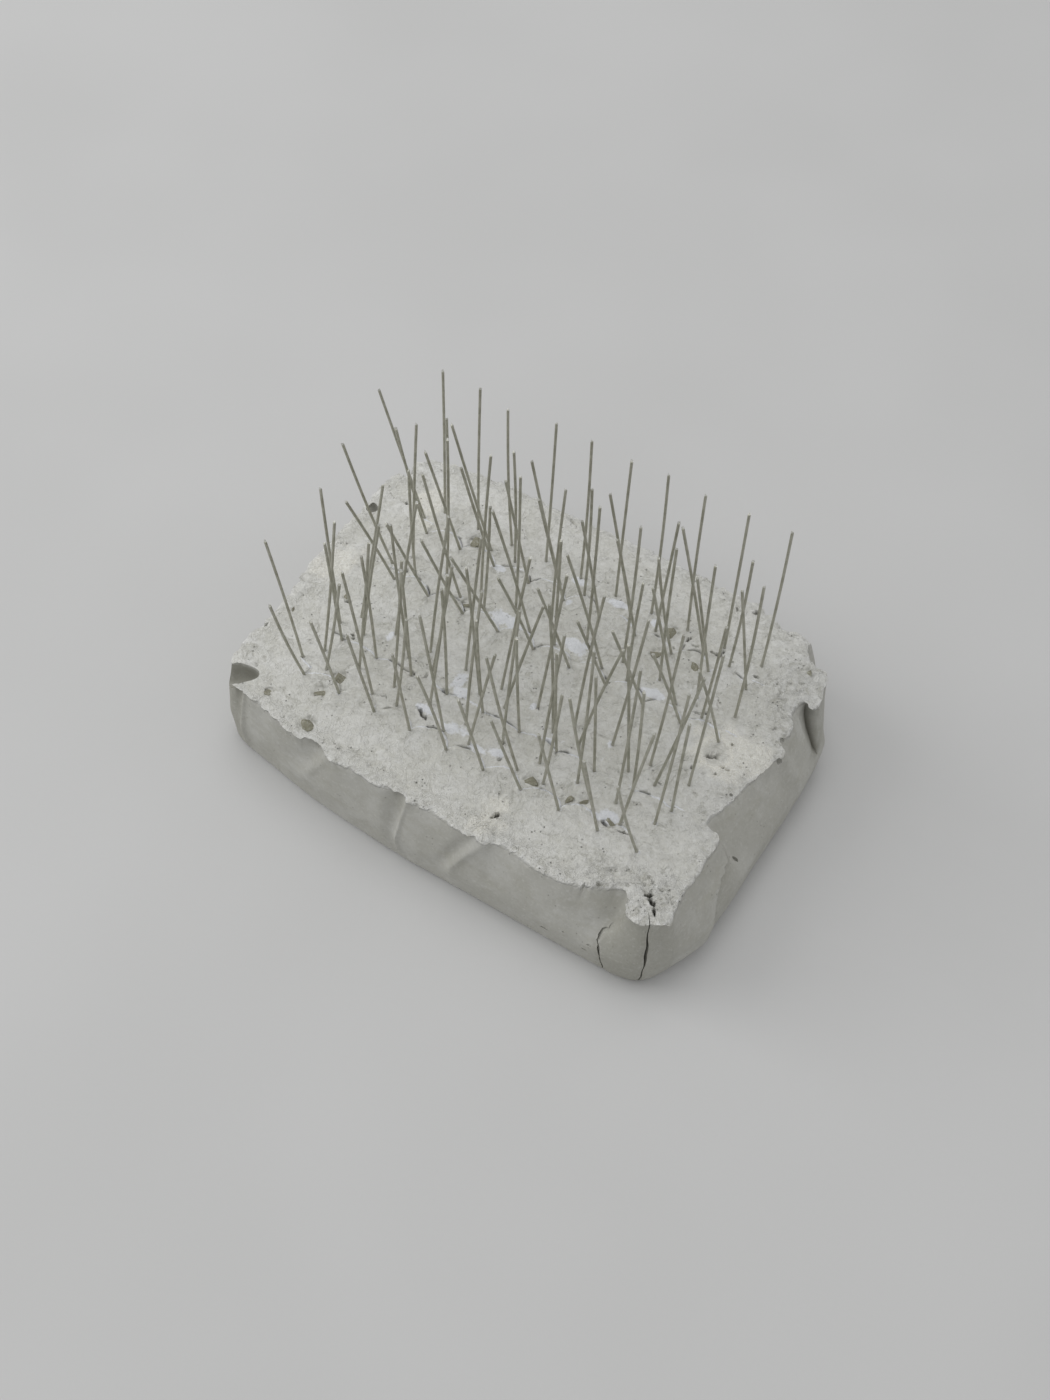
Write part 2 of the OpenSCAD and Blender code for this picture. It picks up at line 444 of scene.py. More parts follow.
# The rim as it stands round the face, from the front left corner: x, y.
rim_marks = np.array([
    (-86.5, -59.2), (-84, -59.6), (-81.5, -59.3), (-77, -61), (-71, -61.5), (-66, -63), (-60, -64),
    (-55, -64.6), (-52, -63.9), (-49.5, -63.1), (-46, -63.4), (-42.5, -65.2), (-38.5, -66.4),
    (-30, -66), (-24, -66.4), (-20, -66.5), (-16, -65.3), (-12, -64.9), (-9, -66), (-4, -65.2),
    (2, -65.3), (8, -66.2), (16, -66.3), (20, -65.6), (23.5, -63.9), (30, -63.6), (37, -65),
    (44, -64.8), (50, -64), (55, -62), (59.5, -60.1), (62.5, -58.4), (64.6, -56.7), (67.4, -56.2),
    (69.2, -58), (70, -61.3), (72.2, -63.5), (76, -63.7), (79, -62.2), (82, -62), (84.2, -60),
    (84.2, -56), (83.3, -51), (83.2, -46), (83.9, -40), (83.7, -33), (84.4, -27), (83.3, -24),
    (80, -22.9), (77.7, -21.4), (78.3, -18), (80, -13), (81.5, -7), (82.5, -1), (84.2, 5), (86, 10),
    (86.8, 15), (85.2, 18.3), (83.4, 20.2), (85.2, 23.4), (84.6, 27), (82.5, 31), (82, 34),
    (82.3, 36.4), (83.2, 38.4), (84.9, 38.2), (86.1, 36.8), (87.4, 37), (88.2, 38.6), (88.5, 40.8),
    (88.1, 45), (87.2, 48.5), (86.4, 51.2), (85, 53.3), (81.5, 53.9), (77.4, 55.6), (75.8, 58),
    (75.7, 60.6), (74.6, 62.6), (71.5, 63.6), (68.8, 63.8), (66, 62.8), (63.6, 62.6), (60.5, 65),
    (56, 66.8), (50, 67.5), (38, 68.3), (27, 68.8), (14, 69), (0, 69.4), (-12, 69.2), (-25, 68.8),
    (-36, 68.4), (-48, 68.9), (-58, 68.6), (-68, 67.4), (-78, 66.6), (-85, 64.8), (-88.8, 62.4),
    (-90.7, 59.6), (-90.2, 56.8), (-88.6, 54.6), (-89.9, 52.4), (-92.6, 52.7), (-94.2, 50.4),
    (-94.7, 46), (-95, 40), (-94.6, 34), (-94.4, 29), (-95.2, 23), (-95.4, 16), (-95.2, 9),
    (-95.6, 2), (-95, -5), (-94.2, -12), (-93.6, -20), (-93.3, -28), (-94, -36), (-94.6, -43),
    (-94, -49), (-91.6, -54), (-89, -57.3)])


def lengths_along(points):
    """How far along a line of points each of them lies."""
    return np.r_[0, np.cumsum(np.linalg.norm(np.diff(points, axis=0), axis=1))]


def places_along(points, length, at):
    """The places that lie at those distances along a line of points."""
    return np.column_stack([np.interp(at, length, column) for column in points.T])


def closed_curve(marks, spacing):
    """A smooth closed line through the marks, as points at that spacing."""
    before, after = np.roll(marks, 1, 0), np.roll(marks, -1, 0)
    beyond = np.roll(marks, -2, 0)
    t = np.linspace(0, 1, 12, endpoint=False)[:, None, None]
    slope_a, slope_b = (after - before) * 0.42, (beyond - marks) * 0.42
    curve = ((2 * t**3 - 3 * t**2 + 1) * marks + (t**3 - 2 * t**2 + t) * slope_a
             + (3 * t**2 - 2 * t**3) * after + (t**3 - t**2) * slope_b)
    curve = curve.transpose(1, 0, 2).reshape(-1, 2)
    curve = np.vstack([curve, curve[:1]])
    length = lengths_along(curve)
    at = np.linspace(0, length[-1], int(length[-1] / spacing), endpoint=False)
    return places_along(curve, length, at)


rim = closed_curve(rim_marks, 0.52)
count = len(rim)
step = np.roll(rim, -1, 0) - np.roll(rim, 1, 0)
outward = unit(np.c_[step[:, 1], -step[:, 0]])
walk = np.cumsum(np.linalg.norm(step, axis=1)) / 2
ragged = 0.3 * cloud(walk, 0 * walk, 1.5, 3, 2) + 0.3 * cloud(walk, 0 * walk + 9, 5.5, 4, 2)
chipped = np.clip(cloud(walk, 0 * walk + 40, 3.2, 6, 2) - 0.35, 0, 1) * 1.5
plain_rim = rim.copy()
rim = rim + outward * (ragged - chipped)[:, None]

# The widest line round the sides, or belt, from the front left corner: x, y. The front runs
# in towards its left end, and the back right corner is cut off long and straight.
belt_marks = np.array([
    (-92.6, -56.6), (-89, -60.6), (-84, -62.4), (-78, -63.6), (-70, -65), (-60, -66.8),
    (-50, -68.3), (-38, -69.4), (-28, -70), (-18, -70.7), (-8, -71), (8, -71), (24, -71), (40, -71),
    (56, -71), (67, -70.9), (73.5, -70.5), (79.5, -69), (83.6, -65.8), (87, -60.8), (90, -53.5),
    (92, -46), (93, -38), (94.2, -25), (94.8, -10), (95, 5), (95, 20), (95, 31), (94.6, 37.5),
    (91.4, 45), (87.4, 52), (83.6, 58.5), (80.2, 63.6), (77, 67), (72.5, 69.8), (66, 71), (40, 71),
    (14, 71), (-12, 71), (-40, 71), (-66, 70.9), (-80, 69.8), (-88, 67), (-92.6, 62), (-94.5, 54),
    (-95, 40), (-95, 20), (-95, 0), (-95, -20), (-94.8, -38), (-94.3, -49)])
belt_marks *= (half_long / 95, half_wide / 71)
belt = closed_curve(belt_marks, 0.1)
belt = np.vstack([belt, belt[:1]])
belt_length = lengths_along(belt)
belt_count = 6000
belt_at = np.linspace(0, belt_length[-1], belt_count, endpoint=False)
belt = places_along(belt, belt_length, belt_at)

def smoothed(ring, rounds):
    """A closed ring of values with its small shape worn away."""
    for _ in range(rounds):
        ring = (np.roll(ring, 1, 0) + ring + np.roll(ring, -1, 0)) / 3
    return ring


# Every point of the rim stands over the nearest point of the belt, and never turns back.
nearest = ((smoothed(plain_rim, 60)[:, None] - belt[None, ::3]) ** 2).sum(2).argmin(1) * 3
lap = np.unwrap(nearest / belt_count * 2 * math.pi) / (2 * math.pi) * belt_length[-1]
lap = np.maximum.accumulate(lap)
reach = 16
padded = np.r_[lap[-reach:] - belt_length[-1], lap, lap[:reach] + belt_length[-1]]
lap = np.convolve(padded, np.ones(2 * reach + 1) / (2 * reach + 1), "valid")
belt_point = np.column_stack([
    np.interp(lap % belt_length[-1], belt_at, column, period=belt_length[-1]) for column in belt.T])
side_step = np.roll(belt_point, -3, 0) - np.roll(belt_point, 3, 0)
side_out = unit(np.c_[side_step[:, 1], -side_step[:, 0]])
side_shape = plain_rim - belt_point
broad_shape = smoothed(side_shape, 90)


def lap_of(x, y):
    """How far round the belt a place lies, in millimetres."""
    return belt_at[((belt - (x, y)) ** 2).sum(1).argmin()]


def round_gap(here, there):
    """Signed distance along the belt, the short way round."""
    half = belt_length[-1] / 2
    return (here - there + half) % (2 * half) - half


# How far down the side each stretch of the rim's own shape is felt: x, y, reach, half width.
rim_reaches = [
    (84, 31, 7, 9), (66, -60, 10, 5), (78, -22, 13, 8), (-48, -64, 12, 9), (-14, -65, 11, 8),
    (22, -65, 8, 7), (77, 60, 15, 9), (-83, -60, 16, 6), (57, -61, 12, 8), (85, 20, 6, 3),
    (-89, 55, 13, 4)]
felt = np.full(count, 4.5)
for x, y, depth, width in rim_reaches:
    near = hump(round_gap(lap, lap_of(x, y)), width)
    felt = np.maximum(felt, 4.5 + (depth - 4.5) * near)

# Folds that the film pinched into the sides: places from the rim down, each x, y, z, then
# the height of the ridge, its half width, and the depth and half width of the hollow before it.
film_folds = [
    [(-82.3, -62.8, 35, 0.9, 1.2, 1.5, 3.4), (-82.8, -62.6, 20, 1.1, 1.2, 1.4, 3.6),
     (-83.4, -62.4, 4, 0.5, 1.6, 0.5, 3.6)],
    [(-42.5, -71, 34, 0.7, 2.8, 1.5, 5.0), (-46.5, -71, 26, 0.9, 2.2, 1.3, 5.0),
     (-53, -71, 15, 0.4, 2.6, 0.3, 5.0), (-57, -71, 8, 0.0, 3.0, 0.0, 5.0)],
    [(-10, -71, 35, 1.0, 1.3, 1.5, 3.2), (-11.2, -71, 25, 1.3, 1.0, 1.8, 3.0),
     (-12.4, -71, 14, 1.2, 0.9, 1.2, 2.6), (-11.8, -71, 7, 1.0, 1.0, 0.6, 2.6),
     (-8, -71, 2, 0.6, 1.6, 0.3, 3.0)],
    [(21, -71, 35, 0.4, 2.4, 0.9, 3.0), (15, -71, 26, 1.0, 1.6, 1.2, 2.8),
     (10, -71, 16, 1.0, 1.5, 1.0, 2.8), (9, -71, 7, 0.2, 3.0, 0.1, 3.4)],
    [(95, 15, 32, 0.9, 3.0, 0.9, 4.0), (95, 18, 20, 1.0, 3.2, 0.5, 4.0),
     (95, 22, 8, 0.2, 4.0, 0.1, 4.0)],
    [(87, -60.5, 34, 1.2, 1.8, 1.3, 3.0), (87, -60.5, 18, 1.0, 2.0, 1.0, 3.0),
     (87, -61, 4, 0.1, 3.0, 0.1, 4.0)],
    [(-95, 10, 34, 0.8, 2.6, 1.0, 4.0), (-95, 14, 18, 1.2, 2.4, 1.0, 4.5),
     (-95, 17, 3, 0.1, 3.0, 0.1, 4.0)],
    [(-95, -30, 33, 0.7, 2.0, 1.1, 4.0), (-95, -27, 16, 1.1, 1.8, 0.9, 4.0),
     (-95, -22, 2, 0.2, 3.0, 0.1, 4.0)],
    [(-58, 71, 34, 1.0, 1.8, 1.3, 4.0), (-55, 71, 20, 1.4, 1.6, 1.3, 4.0),
     (-50, 71, 5, 0.2, 3.0, 0.2, 4.0)],
    [(8, 71, 34, 0.8, 2.4, 1.0, 4.5), (12, 71, 18, 1.2, 1.9, 1.1, 4.5),
     (11, 71, 4, 0.3, 2.6, 0.2, 4.0)],
    [(51, 71, 34, 1.3, 1.6, 1.5, 3.6), (48, 71, 22, 1.4, 1.5, 1.6, 3.6),
     (43, 71, 9, 0.3, 3.0, 0.3, 4.0)],
]


def fold_relief(here, z):
    """How far the folds push the side out or in, at places round the belt and heights."""
    relief = np.zeros(np.broadcast(here, z).shape)
    for marks in film_folds:
        table = np.array(sorted((m[2], lap_of(m[0], m[1]), *m[3:]) for m in marks))
        at = lap_of(marks[0][0], marks[0][1]) + round_gap(table[:, 1], lap_of(*marks[0][:2]))
        line, rise, wide, dip, dip_wide = [
            np.interp(z, table[:, 0], column) for column in (at, *table[:, 2:].T)]
        gap = round_gap(here, line)
        relief = relief + rise * hump(gap, wide)
        relief = relief - dip * hump(gap + wide + 0.75 * dip_wide, dip_wide)
    return relief


# The loose plate on the near corner, which cracks part from the sides, and the end of the
# flat beyond it: heights, and the places of the edge. A smooth scoop runs down to the
# plate's left edge under the rim.
plate_left = [
    (0, 69.5, -70.5), (6, 68.1, -71.6), (12, 67.2, -71.9), (16.2, 66.1, -70.7), (18.6, 64.8, -68.9),
    (21, 65.9, -67.3), (23.4, 68.6, -65.6), (25, 70.3, -65), (34, 71, -62)]
plate_right = [
    (0, 81.6, -68.6), (11.5, 81.8, -68.1), (19.9, 81.2, -66.9), (26.8, 80.2, -65.2), (34, 78.9, -62)]
flat_end = [
    (0, 92.6, -43), (9, 93.4, -42.7), (15, 93.2, -41.6), (20.5, 92, -37.7), (24.4, 90.4, -32.6),
    (26, 88.4, -25.9), (34, 84, -23)]


def up_side(z):
    """0 at the belt and below it, 1 at the rim."""
    return np.clip((z - belt_height) / (face_height - belt_height), 0, 1)


def past(line, here, z):
    """Distance round the side past a line down it, given as heights and places x, y."""
    line = np.array(line)
    x, y = [np.interp(z, line[:, 0], line[:, k]) for k in (1, 2)]
    ring = belt_point + side_shape * up_side(z) ** side_curve
    return round_gap(here, lap[np.hypot(ring[:, 0] - x, ring[:, 1] - y).argmin()])


def corner_relief(here, z):
    """The loose plate, the scoop beside it, and the flat that the film left round the corner."""
    past_left, past_right, past_flat = [
        past(line, here, z) for line in (plate_left, plate_right, flat_end)]
    low_down = ease(z, 0, 6)
    plate = (0.95 * ease(past_left, -0.15, 0.3)
             * (1 - ease(past_right, -0.2, 0.2) * 0.4 - ease(past_right, 2, 7) * 0.6))
    scoop = hump(past_left + 1.2, np.where(past_left < 0, 5.0, 1.3))
    scoop = scoop * 2.6 * ease(z, 19, 28) * (1 - 0.3 * ease(z, 30, 34))
    flat = 1.3 * (1 - ease(past_flat, -0.2, 0.35)) * ease(past_flat, -20, -2) * ease(-z, -29, -24)
    flat = flat - 1.8 * hump(past_flat - 0.6, 1.1) * hump(z - 4, 4.5)
    flap = 0.6 * hump(round_gap(here, lap_of(93.5, 41)), 3.0) * ease(z, 8, 14)
    return (plate + flat) * low_down - scoop + flap


def side_point(z):
    """The ring of points round the side at one height."""
    up = up_side(z)
    radius = long_foot_radius + (end_foot_radius - long_foot_radius) * ease(side_out[:, 0], 0.75, 1.0)
    curled = radius - np.sqrt(radius**2 - np.clip(radius - z, 0, None) ** 2)
    under = max(belt_height - z, 0) / belt_height * 0.6
    base = belt_point - side_out * (curled + under)[:, None]
    fade = np.exp(-((face_height - z) / felt) ** 1.5)[:, None]
    ring = (base + broad_shape * up ** side_curve + (side_shape - broad_shape) * fade * min(1, up * 3)
            + (rim - plain_rim) * ease(z, 32.6, 34))
    mask = ease(z, 0, 5)
    relief = fold_relief(lap, z) * mask + corner_relief(lap, z)
    swell = 0.45 * cloud(lap, lap * 0 + z * 0.6, 34, 21, 2) + 0.12 * cloud(lap, lap * 0 + z, 7, 22, 2)
    return ring + side_out * (relief + swell * mask)[:, None]


# Where the bands of the face lap: along each band the edge swells out between the front
# pins and is pinched back to each of them. Each is the height of the swell.
lap_swell = {1: 5.6, 2: 2.3, 3: 6.0, 4: 6.0}


def lap_gap(x, y, strip):
    """Distance in front of a band's edge (positive) or behind it, and how strong it is there."""
    feet = pin_feet["front", strip]
    between = np.interp(x, feet[:, 0], np.arange(len(feet)), left=-0.5, right=len(feet) - 0.5)
    part = between - np.floor(between)
    level = np.interp(x, feet[:, 0], feet[:, 1])
    arch = np.abs(np.sin(np.pi * part)) ** 0.55
    wander = 0.55 * cloud(x, y * 0 + 7 * strip, 5.0, 50 + strip, 3)
    edge = level + lap_swell[strip] * arch * (0.86 + 0.2 * cloud(x, 0 * y, 11, 60 + strip)) + wander
    run = ease(x, feet[0, 0] - 9, feet[0, 0] - 2) * (1 - ease(x, feet[-1, 0] + 1, feet[-1, 0] + 7))
    return edge - y, run


# Places on the face: cream, chalky patches, bluish white blooms and rough cement, each x, y,
# half sizes.
rough_places = [(76, -54, 11, 8), (62, -55, 8, 6), (80, 40, 9, 18), (17, -59, 6, 5)]
cream_patches = [
    (-74, 45, 6, 9), (-71, 37.5, 5, 5), (-87, 4, 6.5, 8), (-89, -1, 5, 5), (69, 4, 10, 9.5),
    (79, 8.5, 6.5, 6.5), (75, 11, 6, 4.5), (17.5, -57, 4.5, 7), (15, -62, 4, 3.5)]
white_blooms = [
    (-21, 14, 5, 2.6), (6.5, 17.4, 4.6, 2.8), (39, 13.8, 4, 1.6), (9, 41, 3.2, 1.8),
    (-8, 42, 2.8, 1.6), (24, 41, 1.8, 1.4), (-21, -17, 2.0, 4.2), (-18, -21, 3.6, 2.0),
    (-12, -34.2, 5, 2.0), (-24, -33, 3.2, 1.4), (5, -35, 2.8, 1.6), (49, -37, 3.4, 2.2),
    (46, -38.5, 2.2, 1.4), (-52, -13.5, 1.0, 2.4), (6, -12.5, 1.2, 2.0), (36, -12.3, 1.2, 1.3),
    (18, -21.5, 2.4, 1.0), (-36, 32, 2.4, 1.2), (-6, 32.5, 1.2, 1.8), (-1, -37, 3, 1)]

# Pits and gaps in the face: x, y, half length, half width, depth, turn in degrees.
face_pits = [
    (-73.4, -8.5, 1.3, 0.7, 2.2, 20), (-63.4, -20, 0.8, 0.6, 2.0, 0),
    (-62.6, -20.9, 0.8, 0.5, 1.8, 30), (-92.2, -32, 0.9, 0.5, 1.2, 80),
    (-81, 40.3, 0.8, 0.7, 1.8, 0), (67.4, 2.4, 2.5, 1.0, 1.6, 30), (66.2, 2.0, 1.4, 0.6, 1.3, -40),
    (68.4, 3.8, 1.1, 0.6, 1.0, 80), (70.8, 9.1, 0.8, 0.6, 1.2, 0), (74.2, -0.2, 1.3, 0.4, 0.9, 15),
    (72.2, -0.1, 0.8, 0.6, 1.3, 0), (63.6, -5.4, 0.9, 0.8, 1.4, 0), (62, -7.6, 0.6, 0.5, 1.0, 0),
    (71.3, -4, 0.6, 0.5, 1.3, 0), (68.2, -5.6, 0.5, 0.4, 0.8, 0), (76, 5.8, 0.4, 0.4, 0.8, 0),
    (77.5, 3, 0.35, 0.35, 0.7, 0), (18.2, -55.3, 1.2, 0.9, 2.0, 60),
    (17.2, -56.8, 0.9, 0.4, 1.2, 60), (49.6, 40.4, 1.7, 0.8, 2.6, 10), (51, 42, 0.5, 1.2, 1.8, 0),
    (47.2, 40.2, 0.9, 0.35, 1.2, 0), (54.8, 40.2, 1.3, 0.3, 1.0, -25),
    (38, 41.2, 0.5, 1.4, 1.8, -20), (37.4, 37.4, 0.35, 2.4, 1.1, 5), (40.6, 39.4, 2.2, 0.3, 1.0, 0),
    (34.8, 35, 0.9, 0.3, 0.8, -40), (-66, 12.4, 4.6, 0.4, 0.9, 14), (-64, 13.4, 1.4, 0.9, 1.4, 50),
    (-35.6, 12.4, 1.2, 0.9, 1.8, 20), (-38.6, 12.8, 1.4, 0.3, 0.7, 40),
    (-24.6, 65.6, 1.3, 1.1, 1.0, 0), (52.2, 63.6, 1.2, 1.0, 1.3, 30),
    (46, 61.6, 1.9, 0.4, 1.0, -60), (80.4, 23, 1.2, 0.5, 0.9, 10), (26, 32.6, 1.3, 0.3, 0.5, -20),
    (65.4, 38.8, 1.3, 0.5, 1.4, 20), (49.6, -39.4, 1.3, 0.7, 2.2, 15),
    (48.6, -38.8, 0.8, 0.5, 1.8, 80), (56, -39.3, 3.4, 0.35, 1.2, 12),
    (-24.6, -35, 2.8, 0.8, 2.0, -18), (-22.4, -35.8, 1.2, 0.5, 1.8, -35),
    (-39, -36, 1.9, 0.3, 0.9, 10), (-46, -36.7, 1.0, 0.25, 0.7, 20),
    (-22.6, -23.3, 1.6, 0.9, 1.5, 15), (-37, -22.4, 2.1, 0.45, 1.4, -30),
    (-32.2, -21.6, 0.4, 1.7, 1.2, 0), (-39.2, -44.4, 1.5, 0.25, 0.5, -15),
    (-30.6, -51.5, 0.35, 1.2, 0.5, -10), (-27.6, -61.7, 1.0, 0.8, 0.6, 20),
    (-34, -60, 2.0, 0.2, 0.4, 10), (-74.5, -54.8, 1.2, 0.7, 0.7, 30),
    (-84.6, -48.6, 0.3, 1.0, 0.7, 20), (-81, 51, 1.2, 0.3, 0.5, -40),
    (74.6, -54.2, 1.5, 0.9, 3.6, 15), (76.6, -56, 1.7, 0.7, 4.2, -38),
    (78.8, -58.3, 1.5, 0.6, 4.2, -52), (81.2, -52.2, 0.9, 0.8, 0.6, 0),
    (59.4, -59, 1.0, 0.8, 1.1, 40), (55.2, -62.2, 2.6, 0.3, 1.0, 35),
    (57.6, -16.6, 2.2, 0.4, 0.9, 12), (56, -14.4, 0.4, 1.5, 0.7, -20),
    (-50.6, 39.2, 1.6, 0.6, 1.0, 25), (-44.4, 36.2, 1.6, 0.35, 1.1, -20),
    (-55.6, 37, 1.4, 0.3, 0.9, 0), (-91.5, 44, 0.3, 0.9, 0.6, 0), (5, -31.4, 1.4, 0.8, 1.0, 40),
    (7.4, -36.8, 0.8, 0.6, 1.1, 0), (55, 14.4, 2.4, 0.4, 1.0, 12), (57.4, 16.2, 1.1, 0.6, 1.2, 70),
    (53, 17.6, 1.1, 0.8, 0.9, 0), (80, 44.6, 1.2, 0.5, 0.8, 20), (75, 53, 0.8, 0.5, 0.7, 0),
    (58.2, 35.4, 0.6, 0.5, 0.7, 0), (70.6, 18.6, 0.6, 0.5, 0.6, 0)]

# Lesser pinholes, thick on the chalky patch at the right end and on the near right corner.
scatter = np.random.default_rng(5)
for x, y, wide, deep, number, size in [
        (76, -53, 8, 5, 46, 0.55), (64, -52, 6, 4, 14, 0.5), (72, 3, 9, 9, 26, 0.4),
        (76, 42, 8, 12, 26, 0.45), (-76, 40, 5, 7, 16, 0.4), (0, 0, 62, 40, 50, 0.4),
        (-10, -56, 60, 7, 40, 0.4), (-88, -20, 5, 26, 16, 0.45), (10, 56, 70, 9, 40, 0.45)]:
    for _ in range(number):
        radius = size * scatter.uniform(0.5, 1.3)
        face_pits.append((x + scatter.uniform(-wide, wide), y + scatter.uniform(-deep, deep),
                          radius, radius * scatter.uniform(0.5, 1), radius * 1.3,
                          scatter.uniform(0, 180)))


def spot(x, y, places, seed, soft=0.35):
    """1 inside the nearest of the patches, 0 outside, with a broken edge."""
    best = np.full(np.shape(x), 9.0)
    for cx, cy, rx, ry in places:
        best = np.minimum(best, np.hypot((x - cx) / rx, (y - cy) / ry))
    best = best + 0.42 * cloud(x, y, 3.4, seed, 4)
    return 1 - ease(best, 1 - soft, 1 + soft)


def pit_depth(x, y):
    """How deep the face is pitted at each place."""
    depth = np.zeros(np.shape(x))
    for cx, cy, half_length, half_breadth, deep, turn in face_pits:
        near = np.flatnonzero((np.abs(x - cx) < half_length + 2) & (np.abs(y - cy) < half_length + 2))
        if len(near) == 0:
            continue
        c, s = math.cos(math.radians(turn)), math.sin(math.radians(turn))
        dx = x[near] - cx + 0.45 * cloud(x[near], y[near], 1.5, 71, 2)
        dy = y[near] - cy + 0.45 * cloud(x[near], y[near], 1.5, 72, 2)
        off = np.hypot((dx * c + dy * s) / half_length, (dy * c - dx * s) / half_breadth)
        off = off + 0.22 * cloud(x[near], y[near], 0.8, 70, 2)
        depth[near] = np.maximum(depth[near], deep * (1 - ease(off, 0.35, 1.15)))
    return depth


every_foot = np.vstack(list(pin_feet.values()))[:, :2]


def collar(x, y):
    """1 in a ring close round the foot of each pin, and 1 in the hole it stands in."""
    ring, hole = np.zeros((2, len(x)))
    for fx, fy in every_foot:
        near = np.flatnonzero((np.abs(x - fx) < 3) & (np.abs(y - fy) < 3))
        off = np.hypot(x[near] - fx, y[near] - fy)
        ring[near] = np.maximum(ring[near], hump(off - 0.9, 0.4))
        hole[near] = np.maximum(hole[near], 1 - ease(off, 0.55, 0.95))
    return ring, hole


def rim_distance(x, y):
    """Rough distance in from the rim."""
    points = np.c_[x, y]
    nearest = np.full(len(points), 1e9)
    for start in range(0, len(rim), 200):
        block = rim[start:start + 200]
        nearest = np.minimum(nearest, ((points[:, None] - block[None]) ** 2).sum(2).min(1))
    return np.sqrt(nearest)


def face_level(x, y):
    """Height of the face, and masks for the cream, the bloom, the dark joints with painted shade in the
    pits and pin holes, the rough cement and a painted highlight along the rim.
    """
    edge = rim_distance(x, y)
    level = 0.38 * cloud(x, y, 30, face_seed, 2) + 0.13 * cloud(x, y, 7, 12, 3)
    level = level + 0.05 * cloud(x * 0.35 + y * 0.1, y, 2.6, 13, 2)
    joint_and_shade = np.zeros(len(x))
    bloom = spot(x, y, white_blooms, 15, 0.75)
    for strip in lap_swell:
        gap, run = lap_gap(x, y, strip)
        open_here = ease(cloud(x, 0 * x, 5.5, 80 + strip, 2), 0.25, 0.85)
        step = np.where(gap > 0, 0.75 * (1 - np.exp(-gap / 0.9)) * hump(gap, 9), 0)
        step = np.where(gap < 0, -0.12 * hump(gap, 4), step)
        crack = hump(gap, 0.24 + 0.2 * open_here)
        level = level + run * (step - crack * (0.14 + 1.1 * open_here))
        joint_and_shade = np.maximum(joint_and_shade, run * crack * open_here)
        film = hump(gap - 0.3, 0.5) * ease(cloud(x, y, 8, 90 + strip), -0.8, 0.1)
        bloom = np.maximum(bloom, 0.95 * film * run)
    for x0 in (-52, -37, -22, 6, 21, 36):
        line = x - x0 - 0.7 * cloud(y, 0 * x + x0, 3, 95)
        run = ease(y, -22.5, -20) * (1 - ease(y, -14, -11))
        level = level - 0.28 * run * hump(line, 0.35)
        bloom = np.maximum(bloom, 0.3 * run * hump(line - 0.5, 0.5))
    cream = spot(x, y, cream_patches, 16)
    crumble = cloud(x, y, 1.1, 17, 2)
    level = level + cream * (0.18 + 0.14 * crumble) + 0.22 * ease(bloom, 0.2, 0.9)
    cream = 0.8 * cream
    crater = np.hypot((x - 67.7) / 4.5, (y - 3.4) / 4.3) + 0.07 * cloud(x, y, 2.5, 27, 2)
    lip = hump(crater - 1.3, 0.26)
    level = level - 0.8 * (1 - ease(crater, 0.55, 1.05)) + 0.35 * lip
    cream = np.maximum(cream * (1 - 0.6 * (1 - ease(crater, 0.75, 1.05))), 1.2 * lip)
    rough = np.clip(spot(x, y, rough_places, 18, 0.6) + (1 - ease(edge, 1.5, 9)) * 0.6, 0, 1)
    level = level + rough * 0.26 * cloud(x, y, 1.5, 19, 3)
    level = level - rough * 0.5 * ease(cloud(x, y, 3.4, 20, 3), 0.45, 0.9)
    ring, hole = collar(x, y)
    level = level + 0.16 * ring * (1 + 0.8 * cloud(x, y, 1.6, 23)) - 0.12 * hole
    bloom = np.maximum(bloom, 0.42 * ring * ease(cloud(x, y, 9, 28), -0.3, 0.4))
    pit = pit_depth(x, y)
    level = level - pit
    for sx, sy, hx, hy in stone_places:
        off = np.hypot((x - sx) / hx, (y - sy) / hy)
        moat = hump(off - 1.12, 0.16) * ease(cloud(x, y, 2.0, 24), -0.7, 0.3)
        level = level - 0.4 * moat - 0.35 * (1 - ease(off, 0.9, 1.15))
        joint_and_shade = np.maximum(joint_and_shade, 0.6 * moat)
    sag = (0.5 * np.exp(-((x + 88) ** 2 + (y - 55) ** 2) / 60)
           + 1.0 * np.exp(-((x - 66) ** 2 + (y + 57) ** 2) / 14))
    worn = ease(-x, 84, 92) + ease(y, 58, 66)
    drop = (0.3 + 0.7 * worn) * hump(edge, 0.7 + 0.8 * worn) * (1 + 0.6 * cloud(x, y, 2.2, 25))
    level = level - sag - drop
    flake = 1 - np.abs(cloud(x, y, 5.5, 41, 3))
    level = level + (0.1 + 0.22 * rough) * ease(flake, 0.82, 1.0) + 0.09 * cloud(x, y, 2.4, 42, 2)
    # Painted shade: the pits are coloured darker the deeper they go, and the holes at the pin feet a
    # little darker.
    joint_and_shade = np.maximum(joint_and_shade, ease(pit, 0.5, 1.6))
    return level, cream, bloom, np.maximum(joint_and_shade, 0.12 * hole), rough, hump(edge, 0.9)


# The face is laid with points close together where it is cracked or pitted, and wider
# apart on the plain cement.
pitch = 0.31
columns = np.arange(-97, 97, pitch)
rows = np.arange(-70, 71, pitch)
across, along_y = np.meshgrid(columns, rows)
column, row = np.meshgrid(np.arange(len(columns)), np.arange(len(rows)))
every_four = (column % 4 == 0) & (row % 4 == 0)
every_two = (column % 2 == 0) & (row % 2 == 0)
x, y = across.ravel(), along_y.ravel()
want = np.full(len(x), 4.0)


def lay_closer(here, spacing):
    """Brings the points at some places to that spacing, in pitches, or closer."""
    want[here] = np.minimum(want[here], spacing)


